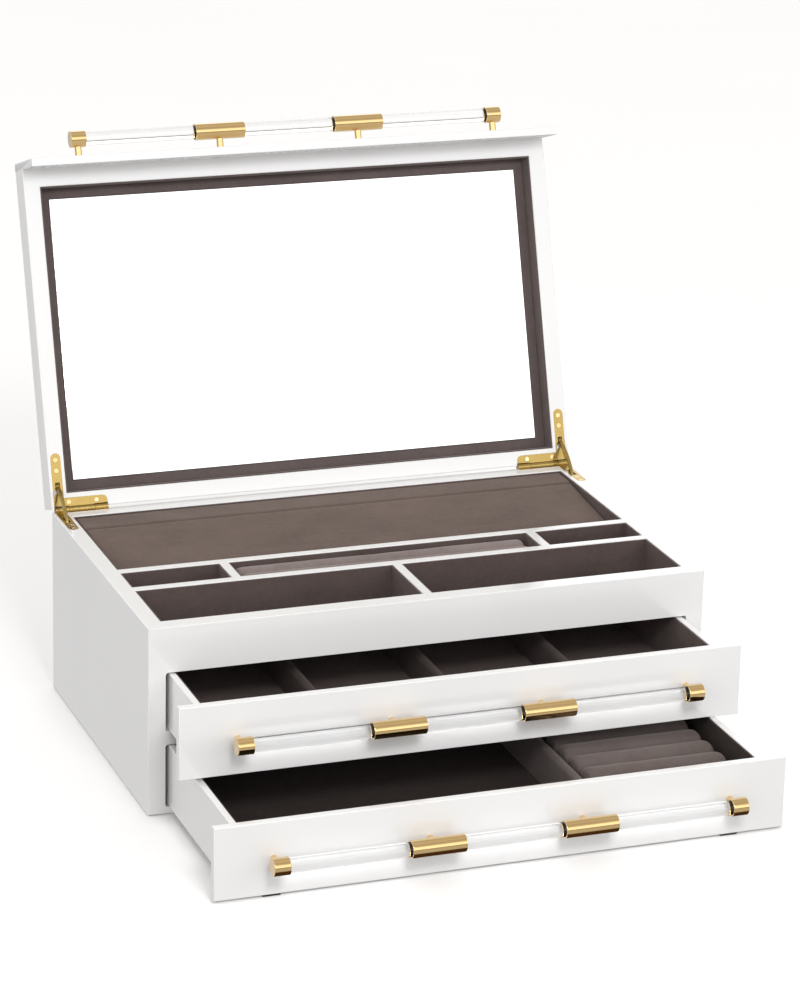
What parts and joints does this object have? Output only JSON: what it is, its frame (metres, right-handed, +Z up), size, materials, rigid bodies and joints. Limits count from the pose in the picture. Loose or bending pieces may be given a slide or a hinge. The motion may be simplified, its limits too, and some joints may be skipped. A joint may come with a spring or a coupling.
{
  "type": "jewellery chest",
  "caption": "Jewellery chest: a lift-up lid with a mirror over a divided tray, above sliding drawers with bar handles; the lid turns on quadrant hinges.",
  "frame": {"origin": "centre of the case's footprint, on the surface it stands on", "axes": "+X to the right as seen from the front, +Y towards the back, +Z up"},
  "size_m": [0.4, 0.5008, 0.3924],
  "materials": {
    "white_lacquer": "white gloss lacquer",
    "taupe_suede": "soft faux suede",
    "dark_board": "covered in dark suede paper",
    "plain_wood": "plain",
    "brass": "polished",
    "clear_acrylic": "clear and polished",
    "mirror_glass": "silvered glass",
    "black_felt": "thin felt"
  },
  "bodies": {
    "case": {"left_side_panel": "white_lacquer", "right_side_panel": "white_lacquer", "back_panel": "white_lacquer", "front_frame": "white_lacquer", "bottom_panel": "white_lacquer", "base_felt": "black_felt", "drawer_shelf": "white_lacquer", "tray_floor": "white_lacquer", "tray_dividers": "white_lacquer", "lining_rear_well": "taupe_suede", "lining_middle_bins": "taupe_suede", "lining_front_bins": "taupe_suede", "flap_ledge": "taupe_suede", "flap_rest": "taupe_suede", "tray_ring_rolls": "taupe_suede", "drawer_stops": "plain_wood", "case_hinge_leaf_left": "brass", "case_hinge_leaf_right": "brass", "hinge_pins": "brass", "case_hinge_screws": "brass"},
    "flap": {"rear_flap": "taupe_suede"},
    "lid": {"lid_frame": "white_lacquer", "lid_panel": "white_lacquer", "lid_fascia": "white_lacquer", "lid_mirror": "mirror_glass", "mirror_border": "taupe_suede", "lid_lining": "taupe_suede", "lid_hinge_leaf_left": "brass", "lid_hinge_leaf_right": "brass", "lid_hinge_screws": "brass", "lid_handle_rod": "clear_acrylic", "lid_handle_caps": "brass", "lid_handle_sleeves": "brass", "lid_handle_posts": "brass", "lid_handle_screws": "brass"},
    "stay_left": {"stay_left": "brass"},
    "stay_right": {"stay_right": "brass"},
    "upper_drawer": {"upper_front": "white_lacquer", "upper_box_walls": "white_lacquer", "upper_box_bottom": "dark_board", "upper_lining": "taupe_suede", "upper_dividers": "taupe_suede", "upper_handle_rod": "clear_acrylic", "upper_handle_caps": "brass", "upper_handle_sleeves": "brass", "upper_handle_posts": "brass", "upper_handle_screws": "brass"},
    "lower_drawer": {"lower_front": "white_lacquer", "lower_box_walls": "white_lacquer", "lower_box_bottom": "dark_board", "lower_lining": "taupe_suede", "lower_divider": "taupe_suede", "lower_ring_rolls": "taupe_suede", "lower_glide_pads": "black_felt", "lower_handle_rod": "clear_acrylic", "lower_handle_caps": "brass", "lower_handle_sleeves": "brass", "lower_handle_posts": "brass", "lower_handle_screws": "brass"}
  },
  "joints": [
    {"name": "lid_hinge", "type": "hinge", "parent": "case", "child": "lid", "pos_m": [0, 0.122, 0.1347], "axis": [-1, 0, 0], "range_deg": [-108, 0]},
    {"name": "stay_left_pivot", "type": "hinge", "parent": "lid", "child": "stay_left", "pos_m": [-0.1942, 0.12839, 0.1505], "axis": [-1, 0, 0], "range_deg": [-0.1, 54.1]},
    {"name": "stay_right_pivot", "type": "hinge", "parent": "lid", "child": "stay_right", "pos_m": [0.1942, 0.12839, 0.1505], "axis": [-1, 0, 0], "range_deg": [-0.1, 54.1]},
    {"name": "flap_hinge", "type": "hinge", "parent": "case", "child": "flap", "pos_m": [0, 0.0841, 0.1328], "axis": [-1, 0, 0], "range_deg": [0, 12]},
    {"name": "upper_drawer_slide", "type": "slide", "parent": "case", "child": "upper_drawer", "axis": [0, -1, 0], "range_m": [-0.0598, 0.11]},
    {"name": "lower_drawer_slide", "type": "slide", "parent": "case", "child": "lower_drawer", "axis": [0, -1, 0], "range_m": [-0.1358, 0.034]}
  ],
  "couplings": [
    {"joint": "stay_left_pivot", "follows": "lid_hinge", "ratio": -0.5},
    {"joint": "stay_right_pivot", "follows": "lid_hinge", "ratio": -0.5}
  ]
}
